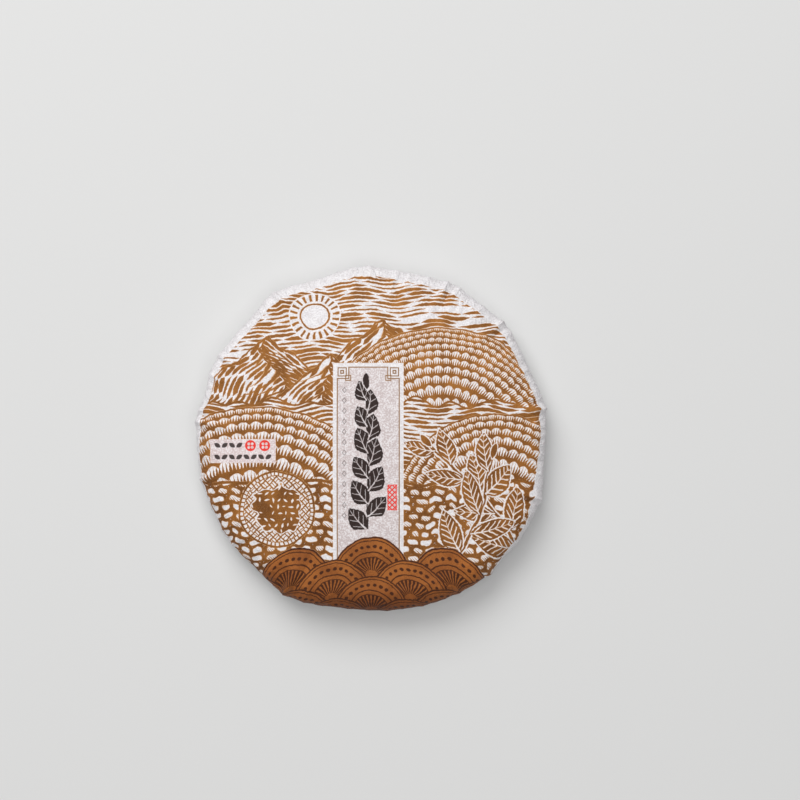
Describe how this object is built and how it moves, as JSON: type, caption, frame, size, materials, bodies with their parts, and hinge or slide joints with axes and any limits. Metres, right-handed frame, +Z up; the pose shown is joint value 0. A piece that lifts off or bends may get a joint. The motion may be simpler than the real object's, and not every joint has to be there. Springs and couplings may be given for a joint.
{
  "type": "wrapped pu erh tea cake",
  "caption": "Small round pressed tea cake in printed cotton paper, pleated round the rim and gathered into a hollow in the back.",
  "frame": {"origin": "on the surface the cake lies on, under the middle of its box", "axes": "+Z up out of the printed face, +Y towards the top of the printed picture, +X towards its right"},
  "size_m": [0.1054, 0.1036, 0.019],
  "materials": {
    "wrapper_paper": "uncoated off-white cotton paper, printed with a brown woodcut landscape on the face"
  },
  "bodies": {
    "root": {"wrapped_tea_cake": "wrapper_paper"}
  },
  "joints": []
}
